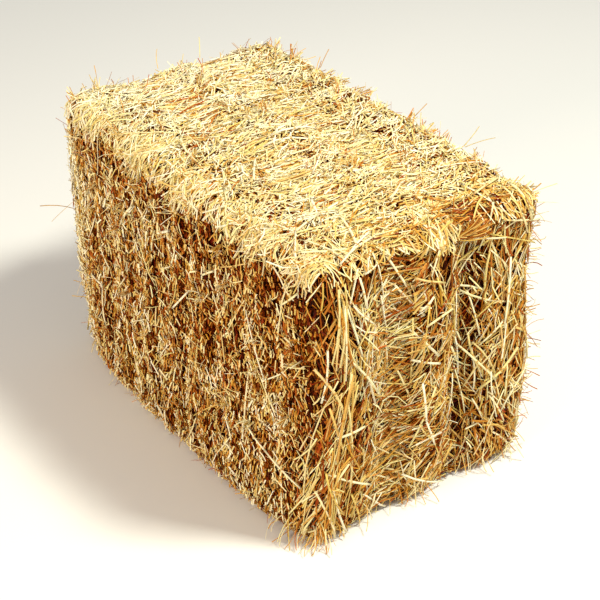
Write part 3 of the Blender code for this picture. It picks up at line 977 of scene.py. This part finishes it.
def add_node(tree, kind, settings=None, links=None, stops=()):
    """Add a node, set its values by socket or property name, link its inputs and fill its colour ramp."""
    node = tree.nodes.new(kind)
    for name, value in (settings or {}).items():
        if isinstance(name, int) or name in node.inputs:
            node.inputs[name].default_value = value
        else:
            setattr(node, name, value)
    for name, source in (links or {}).items():
        tree.links.new(source, node.inputs[name])
    for number, (place, code) in enumerate(stops):
        elements = node.color_ramp.elements
        element = elements[number] if number < len(elements) else elements.new(place)
        element.position = place
        element.color = from_hex(code)
    return node


STRAW_TONES = (
    (0.00, "2A0A00"),
    (0.10, "501200"),
    (0.22, "7C2700"),
    (0.36, "AC500C"),
    (0.50, "CE8932"),
    (0.66, "E3BF6E"),
    (0.82, "F3E2AA"),
    (1.00, "FFF7DC"),
)  # from painted shade between crushed stalks, over rust brown and gold, to bleached cream
RING_BROWN = "D8B888"
# Painted shade for a stalk's cut ends and the inside of its hollow ends.
HOLLOW_SHADE = "8A6A48"
RING_FADE = (0.002, 0.006)  # U from a joint over which its dark ring fades
RIB_LENGTH = 0.0093  # a rib keeps its shade for about this long
RIB_SPACING = 0.0005  # drawn about twice as coarse as real ribs, which are too fine to show
USUAL_WIDTH = 0.0022  # of a crushed stalk
HUE_LENGTH = 0.186  # a stalk changes its hue this slowly along it
HUES_PER_STALK = 1.04  # so that each has a hue of its own
MULTIPLY = {"data_type": "RGBA", "blend_type": "MULTIPLY"}
NOISE_RANGE = {"From Min": 0.3, "From Max": 0.7}  # the part of 0 to 1 that a noise fills


def straw_material():
    """Wheat straw, dried in the sun and pressed: a dull gloss, broken up by fine ribs along the stalk."""
    material = bpy.data.materials.new("wheat_straw")
    material.use_nodes = True
    tree = material.node_tree
    shader = tree.nodes["Principled BSDF"]
    place = add_node(tree, "ShaderNodeUVMap", {"uv_map": "OFBake"}).outputs["UV"]
    parts = add_node(tree, "ShaderNodeSeparateXYZ", links={0: place})
    tone = add_node(tree, "ShaderNodeValToRGB", links={"Fac": parts.outputs["Y"]}, stops=STRAW_TONES)
    swatch = SWATCH_LENGTH / SWATCH_END
    hue_scale = (round(swatch / HUE_LENGTH), HUES_PER_STALK / STRIP, 1)
    rib_scale = (round(swatch / RIB_LENGTH), USUAL_WIDTH / RIB_SPACING / STRIP, 1)
    own = add_node(tree, "ShaderNodeMapping", {"Scale": hue_scale}, {"Vector": place})
    own = add_node(tree, "ShaderNodeTexNoise", {"Scale": 1.0, "Detail": 1.0}, {"Vector": own.outputs[0]})
    hue = add_node(tree, "ShaderNodeMapRange", {**NOISE_RANGE, "To Min": 0.486, "To Max": 0.525},
                   {"Value": own.outputs[0]})
    hued = add_node(tree, "ShaderNodeHueSaturation", {"Saturation": 1.0, "Value": 1.0},
                    {"Hue": hue.outputs[0], "Color": tone.outputs["Color"]})
    stretched = add_node(tree, "ShaderNodeMapping", {"Scale": rib_scale}, {"Vector": place})
    ribs = add_node(tree, "ShaderNodeTexNoise", {"Scale": 1.0, "Detail": 2.0},
                    {"Vector": stretched.outputs[0]})
    spread = add_node(tree, "ShaderNodeMapRange", {**NOISE_RANGE, "To Min": 0.70, "To Max": 1.20},
                      {"Value": ribs.outputs[0]})
    ribbed = add_node(tree, "ShaderNodeMix", {**MULTIPLY, 0: 1.0},
                      {6: hued.outputs[0], 7: spread.outputs[0]})
    joint = add_node(tree, "ShaderNodeMath", {"operation": "SUBTRACT", 1: JOINT_U}, {0: parts.outputs["X"]})
    joint = add_node(tree, "ShaderNodeMath", {"operation": "ABSOLUTE"}, {0: joint.outputs[0]})
    fade = {"From Min": RING_FADE[0], "From Max": RING_FADE[1], "To Min": 1.0, "To Max": 0.0}
    joint = add_node(tree, "ShaderNodeMapRange", fade, {"Value": joint.outputs[0]})
    ringed = add_node(tree, "ShaderNodeMix", {**MULTIPLY, 7: from_hex(RING_BROWN)},
                      {0: joint.outputs[0], 6: ribbed.outputs[2]})
    # Painted shade on the ends and in the hollows of the stalks.
    inside = add_node(tree, "ShaderNodeMath", {"operation": "GREATER_THAN", 1: HOLLOW_START},
                      {0: parts.outputs["X"]})
    hollow_shaded = add_node(tree, "ShaderNodeMix", {**MULTIPLY, 7: from_hex(HOLLOW_SHADE)},
                     {0: inside.outputs[0], 6: ringed.outputs[2]})
    tree.links.new(hollow_shaded.outputs[2], shader.inputs["Base Color"])
    gloss = add_node(tree, "ShaderNodeMapRange", {**NOISE_RANGE, "To Min": 0.66, "To Max": 0.44},
                     {"Value": ribs.outputs[0]})
    tree.links.new(gloss.outputs[0], shader.inputs["Roughness"])
    # Plant fibre and its wax are near 1.5, but weather has dulled most of the skin.
    shader.inputs["IOR"].default_value = 1.5
    shader.inputs["Specular IOR Level"].default_value = 0.08
    return material


straw = straw_material()

# The flakes.
# Each flake is one slice of pressed straw, held only by its neighbours and the twines: a packed body,
# drawn dark as painted shade, under its own stalks, which are gathered here from all the layers above.

CORE_DEPTH = 0.009
# The core's near-black tone is painted shade for the dark between the stalks.
CORE_SHADE_TONE = 0.02
CORE_DRIFT = 0.2  # how much its tone changes over a metre of bale
CORE_SWATCH = 0.3  # U starts again after this many metres round the bale


def core_mesh(number):
    """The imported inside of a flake: its CAD surface, less its tufts, drawn in under the stalks."""
    places, faces, feet, tips = flake_mesh(flake_names[number])
    places -= outward_of(places) * CORE_DEPTH
    places[:, 2] = np.maximum(places[:, 2], FLOOR_GAP)
    uv = np.stack([(places[:, 1] + places[:, 2]) % CORE_SWATCH, np.full(len(places), CORE_SHADE_TONE)], -1)
    uv[:, 1] += (places[:, 0] - places[:, 0].min()) * CORE_DRIFT
    return places, [faces], [uv[faces].reshape(-1, 2)], [False]


def make_piece(name, parts, material):
    """One mesh object from parts of (vertices, faces, UVs and smoothness by kind of face)."""
    loops, starts, uvs, rounded = [], [], [], []
    first_vertex, first_loop = 0, 0
    for vertices, faces_by_kind, uv_by_kind, smooth_by_kind in parts:
        for faces, uv, smooth in zip(faces_by_kind, uv_by_kind, smooth_by_kind):
            loops.append(faces.reshape(-1) + first_vertex)
            starts.append(first_loop + np.arange(len(faces)) * faces.shape[1])
            uvs.append(uv)
            rounded.append(np.full(len(faces), smooth))
            first_loop += faces.size
        first_vertex += len(vertices)
    places = np.concatenate([part[0] for part in parts])
    loops, starts, uvs = np.concatenate(loops), np.concatenate(starts), np.concatenate(uvs)
    mesh = bpy.data.meshes.new(name)
    mesh.vertices.add(len(places))
    mesh.vertices.foreach_set("co", places.astype(np.float32).ravel())
    mesh.loops.add(len(loops))
    mesh.loops.foreach_set("vertex_index", loops.astype(np.int32))
    mesh.polygons.add(len(starts))
    mesh.polygons.foreach_set("loop_start", starts.astype(np.int32))
    mesh.polygons.foreach_set("use_smooth", np.concatenate(rounded))
    mesh.update(calc_edges=True)
    layer = mesh.uv_layers.new(name="OFBake")
    layer.uv.foreach_set("vector", uvs.astype(np.float32).ravel())
    mesh.materials.append(material)
    mesh.validate()
    piece = bpy.data.objects.new(name, mesh)
    bpy.context.scene.collection.objects.link(piece)
    return piece


for number, name in enumerate(flake_names):
    parts = [core_mesh(number)]
    for batch in batches:
        chosen = np.flatnonzero(batch["flake"] == number)
        if len(chosen):
            parts.append(stalk_mesh(batch, chosen) if batch["sides"] else shred_mesh(batch, chosen))
    piece = make_piece(name + "_straw", parts, straw)
    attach(piece, "root")
    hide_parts(name)

# The twines.
# Two loops of natural sisal, laid up from two plies, run lengthwise round the bale. The baler pulls
# them tight into the straw and ties each with one knot on the far end, which leaves two frayed tails.

TWINE_RADIUS = 0.0016
TWINE_CLEARANCE = 0.0015  # between the twine and the bottom of its groove
GROOVE_DEPTH_TOP = 0.010
GROOVE_DEPTH_BOTTOM = 0.007
GROOVE_DEPTH_END = 0.018
PLY_RADIUS = 0.00095
LAY_LENGTH = 0.012  # one turn of the two plies round each other
STEPS_PER_LAY = 7
PLY_SIDES = 5
PLY_PRESS = 0.92  # the plies press each other flat to this much of their radius
TWINE_SWATCH = 0.048  # length of twine that the material's U runs over
HAIRS_PER_TWINE = 420
HAIR_HALF_WIDTH = 0.00012
HAIR_UV = ((0.2, 0.02), (0.2, 0.06), (0.3, 0.02), (0.3, 0.06))  # of its four points
KNOT_STEPS = 90
KNOT_SIZE = (0.0011, 0.0010, 0.0019)
KNOT_TURNS = 8  # of the plies round each other in the knot
KNOT_STAND_OUT = 0.0012
TAIL_SMOOTHINGS = 12


def even_steps(line, step):
    """The same line with points this far apart."""
    run = np.concatenate([[0.0], np.linalg.norm(np.diff(line, axis=0), axis=1).cumsum()])
    places = np.linspace(0, run[-1], max(int(round(run[-1] / step)), 2) + 1)
    return np.stack([np.interp(places, run, line[:, axis]) for axis in range(3)], -1)


def twine_route(y):
    """The centre line of one twine, up from its knot and once round the bale."""
    low, high = bale_centre - bale_half, bale_centre + bale_half
    knot = (low[0], KNOT_HEIGHT)
    turns = [knot, (low[0], high[2]), (high[0], high[2]), (high[0], low[2]), (low[0], low[2]), knot]
    plain = np.concatenate([np.linspace(turns[i], turns[i + 1], 400) for i in range(5)])
    plain = np.stack([plain[:, 0], np.full(len(plain), y), plain[:, 1]], -1)
    limit = bale_half - EDGE_RADIUS
    inner = bale_centre + np.clip(plain - bale_centre, -limit, limit)
    outward = unit(plain - inner)
    depth = (GROOVE_DEPTH_TOP * np.maximum(outward[:, 2], 0) ** 2
             + GROOVE_DEPTH_BOTTOM * np.maximum(-outward[:, 2], 0) ** 2
             + GROOVE_DEPTH_END * outward[:, 0] ** 2)
    rounded = inner + outward * EDGE_RADIUS
    return rounded + outward * (TWINE_CLEARANCE + TWINE_RADIUS - depth)[:, None]


def ply_mesh(route, turns, phase, closed):
    """One ply of a twine: a tube that winds round the route. V is 0.5 where it touches the other ply."""
    count = len(route)
    if closed:
        tangent = unit(np.roll(route, -1, axis=0) - np.roll(route, 1, axis=0))
        thin = np.ones(count)
    else:
        tangent = unit(np.gradient(route, axis=0))
        thin = np.interp(np.arange(count) / (count - 1), (0, 0.7, 1), (1, 0.9, 0.45))
    side = unit(np.cross(tangent, outward_of(route) + OFF_LINE))
    up = np.cross(side, tangent)
    angle = (np.arange(count) / count * turns * 2 * math.pi + phase)[:, None]
    away = side * np.cos(angle) + up * np.sin(angle)
    beside = np.cross(tangent, away)
    radius = (PLY_RADIUS * thin)[:, None]
    centre = route + away * radius * PLY_PRESS
    around = np.arange(PLY_SIDES) * 2 * math.pi / PLY_SIDES
    rings = (centre[:, None] + away[:, None] * (np.cos(around) * radius)[..., None]
             + beside[:, None] * (np.sin(around) * radius)[..., None])
    vertex = np.arange(count * PLY_SIDES).reshape(count, PLY_SIDES)
    after = np.roll(vertex, -1, axis=0) if closed else vertex[1:]
    before = vertex if closed else vertex[:-1]
    quads = np.stack([before, np.roll(before, -1, 1), np.roll(after, -1, 1), after], -1).reshape(-1, 4)
    steps_per_swatch = int(TWINE_SWATCH / LAY_LENGTH) * STEPS_PER_LAY
    u = (np.arange(len(before)) % steps_per_swatch)[:, None] / steps_per_swatch
    u = np.broadcast_to(u, (len(before), PLY_SIDES))
    v = np.broadcast_to(np.arange(PLY_SIDES) / PLY_SIDES, u.shape)
    u = np.stack([u, u, u + 1 / steps_per_swatch, u + 1 / steps_per_swatch], -1)
    v = np.stack([v, v + 1 / PLY_SIDES, v + 1 / PLY_SIDES, v], -1)
    faces, uvs, smooth = [quads], [np.stack([u, v], -1).reshape(-1, 2)], [True]
    if not closed:
        faces.append(np.stack([vertex[0, ::-1], vertex[-1]]))
        cap_u, cap_v = 0.5 + 0.1 * np.cos(around), 0.5 + 0.1 * np.sin(around)
        uvs.append(np.stack([cap_u, cap_v] * 2, -1).reshape(-1, 2))
        smooth.append(False)
    return rings.reshape(-1, 3), faces, uvs, smooth


def knot_route(centre):
    """A tight overhand knot, drawn long along the twine."""
    turn = np.linspace(0, 2 * math.pi, KNOT_STEPS, endpoint=False)
    x = -np.sin(3 * turn) * 0.9
    y = np.sin(turn) + 2 * np.sin(2 * turn)
    z = np.cos(turn) - 2 * np.cos(2 * turn)
    return centre + np.stack([x, y, z], -1) * KNOT_SIZE


def hair_mesh(route, chance):
    """Fine fibres that stand off the twine."""
    picks = chance.integers(2, len(route) - 2, HAIRS_PER_TWINE)
    tangent = unit(route[picks + 1] - route[picks - 1])
    start = route[picks] + chance.normal(0, 0.0008, (len(picks), 3))
    lean = unit(tangent + chance.normal(0, 0.45, (len(picks), 3)) + outward_of(start) * 0.25)
    end = start + lean * chance.uniform(0.003, 0.009, (len(picks), 1))
    side = unit(np.cross(lean, chance.normal(0, 1, (len(picks), 3)))) * HAIR_HALF_WIDTH
    other = np.cross(lean, side)
    vertices = np.stack([start - side, start + side, end - other, end + other], 1).reshape(-1, 3)
    vertices[:, 2] = np.maximum(vertices[:, 2], FLOOR_GAP)
    corner = np.arange(len(vertices)).reshape(-1, 4)
    faces = corner[:, SLIVER].reshape(-1, 3)
    uv = np.tile(HAIR_UV, (len(picks), 1))
    return vertices, [faces], [uv[faces].reshape(-1, 2)], [False]


SISAL_TONES = ((0.25, "8A6836"), (0.45, "C4A066"), (0.60, "E0C692"), (0.80, "F4E6C4"))
# The painted shade in the crease between the plies.
SISAL_CREASE_SHADE = "6A4622"
FIBRE_WIDTH = 0.00023
FIBRE_STREAK = 0.0053  # a fibre stays on the outside of its ply for about this long
FIBRE_SLANT = math.radians(8)


def sisal_material():
    """Natural sisal: coarse raw leaf fibres, twisted, dry, matt gold-brown; painted shade where its plies
    meet.
    """
    material = bpy.data.materials.new("sisal_twine")
    material.use_nodes = True
    tree = material.node_tree
    shader = tree.nodes["Principled BSDF"]
    place = add_node(tree, "ShaderNodeUVMap", {"uv_map": "OFBake"}).outputs["UV"]
    parts = add_node(tree, "ShaderNodeSeparateXYZ", links={0: place})
    scale = (round(TWINE_SWATCH / FIBRE_STREAK), round(2 * math.pi * PLY_RADIUS / FIBRE_WIDTH), 1)
    slanted = add_node(tree, "ShaderNodeMapping", {"Rotation": (0, 0, FIBRE_SLANT), "Scale": scale},
                       {"Vector": place})
    fibre = add_node(tree, "ShaderNodeTexNoise", {"Scale": 1.0, "Detail": 3.0},
                     {"Vector": slanted.outputs[0]})
    colour = add_node(tree, "ShaderNodeValToRGB", links={"Fac": fibre.outputs[0]}, stops=SISAL_TONES)
    # Painted shade in the crease where the two plies press together, at V 0.5.
    inner = add_node(tree, "ShaderNodeMath", {"operation": "SUBTRACT", 1: 0.5}, {0: parts.outputs["Y"]})
    inner = add_node(tree, "ShaderNodeMath", {"operation": "ABSOLUTE"}, {0: inner.outputs[0]})
    fade = {"From Min": 0.06, "From Max": 0.30, "To Min": 0.70, "To Max": 0.0}
    crease_shade = add_node(tree, "ShaderNodeMapRange", fade, {"Value": inner.outputs[0]})
    crease_shaded = add_node(tree, "ShaderNodeMix", {**MULTIPLY, 7: from_hex(SISAL_CREASE_SHADE)},
                     {0: crease_shade.outputs[0], 6: colour.outputs["Color"]})
    tree.links.new(crease_shaded.outputs[2], shader.inputs["Base Color"])
    rough = add_node(tree, "ShaderNodeMapRange", {"To Min": 0.95, "To Max": 0.75},
                     {"Value": fibre.outputs[0]})
    tree.links.new(rough.outputs[0], shader.inputs["Roughness"])
    shader.inputs["Specular IOR Level"].default_value = 0.25
    return material


sisal = sisal_material()
step = LAY_LENGTH / STEPS_PER_LAY
TWINES = (("twine_cut_side", -TWINE_OFFSET, 201), ("twine_folded_side", TWINE_OFFSET, 202))
for name, y, seed in TWINES:
    chance = np.random.default_rng(seed)
    route = even_steps(twine_route(y), step)[:-1]
    turns = round(len(route) / STEPS_PER_LAY)
    parts = [ply_mesh(route, turns, phase, True) for phase in (0, math.pi)]
    centre = route[0] - (KNOT_STAND_OUT, 0, 0)
    knot = knot_route(centre)
    parts += [ply_mesh(knot, KNOT_TURNS, phase, True) for phase in (0, math.pi)]
    for way in (-1, 1):
        tail = np.array([
            centre + (0, 0.001 * way, 0.002 * way),
            centre + (-0.003, 0.006 * way, 0.003 * way - 0.002),
            centre + (-0.006, 0.011 * way, -0.008),
            centre + (-0.005, 0.013 * way, -0.022 - 0.004 * way),
        ])
        tail = even_steps(tail, step)
        turns = round(len(tail) / STEPS_PER_LAY)
        for _ in range(TAIL_SMOOTHINGS):
            tail[1:-1] = (tail[:-2] + tail[2:]) / 2
        parts += [ply_mesh(tail, turns, phase, False) for phase in (0, math.pi)]
        parts.append(hair_mesh(tail, chance))
    parts.append(hair_mesh(route, chance))
    piece = make_piece(name + "_sisal", parts, sisal)
    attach(piece, "root")
    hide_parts(name)

# The floor, the light and the camera.
# A pale sweep of paper, a soft lamp high on the right, a wide weak one on the left, and the
# viewpoint from above the near corner.

FLOOR_REACH = 40.0
floor_mesh = bpy.data.meshes.new("floor")
floor_corners = [(x * FLOOR_REACH, y * FLOOR_REACH, 0) for x, y in ((-1, -1), (1, -1), (1, 1), (-1, 1))]
floor_mesh.from_pydata(floor_corners, [], [(0, 1, 2, 3)])
floor = bpy.data.objects.new("floor", floor_mesh)
bpy.context.scene.collection.objects.link(floor)

# Uncoated backdrop paper: an even, matt white that takes soft shadows and shows no gloss.
paper = bpy.data.materials.new("pale_paper")
paper.use_nodes = True
paper.node_tree.nodes["Principled BSDF"].inputs["Base Color"].default_value = from_hex("EDEBE6")
paper.node_tree.nodes["Principled BSDF"].inputs["Roughness"].default_value = 0.9
floor_mesh.materials.append(paper)


def add_light(name, place, target, size, power, colour):
    """A square studio lamp that faces a point."""
    data = bpy.data.lights.new(name, "AREA")
    data.size = size
    data.energy = power
    data.color = from_hex(colour)[:3]
    light = bpy.data.objects.new(name, data)
    light.location = place
    light.rotation_euler = (Vector(target) - Vector(place)).to_track_quat("-Z", "Y").to_euler()
    bpy.context.scene.collection.objects.link(light)


add_light("key", (1.3, 0.9, 2.7), target=(0, 0, 0.3), size=0.50, power=97, colour="FFFFF2")
add_light("fill", (0.6, -2.7, 1.2), target=(0, 0, 0.2), size=0.8, power=52, colour="FFECD4")
SKY_STRENGTH = 0.42
world = bpy.data.worlds.new("studio")
world.use_nodes = True
world.node_tree.nodes["Background"].inputs["Color"].default_value = from_hex("FFFFFF")
world.node_tree.nodes["Background"].inputs["Strength"].default_value = SKY_STRENGTH
bpy.context.scene.world = world
bpy.context.scene.view_settings.view_transform = "Standard"

CAMERA_PLACE = (1.5094, -1.0767, 1.3278)
AZIMUTH, ELEVATION, ROLL = math.radians(54.04), math.radians(32.21), math.radians(0.28)
SENSOR_WIDTH = 36
FOCAL_LENGTH = 90.3
camera_data = bpy.data.cameras.new("camera")
camera_data.sensor_width = SENSOR_WIDTH
camera_data.lens = FOCAL_LENGTH
camera = bpy.data.objects.new("camera", camera_data)
camera.location = CAMERA_PLACE
level = math.cos(ELEVATION)
back = Vector((math.sin(AZIMUTH) * level, -math.cos(AZIMUTH) * level, math.sin(ELEVATION)))
right = Vector((math.cos(AZIMUTH), math.sin(AZIMUTH), 0))
up = back.cross(right)
rolled_right = right * math.cos(ROLL) + up * math.sin(ROLL)
rolled_up = up * math.cos(ROLL) - right * math.sin(ROLL)
camera.rotation_mode = "QUATERNION"
camera.rotation_quaternion = Matrix((rolled_right, rolled_up, back)).transposed().to_quaternion()
bpy.context.scene.collection.objects.link(camera)
bpy.context.scene.camera = camera
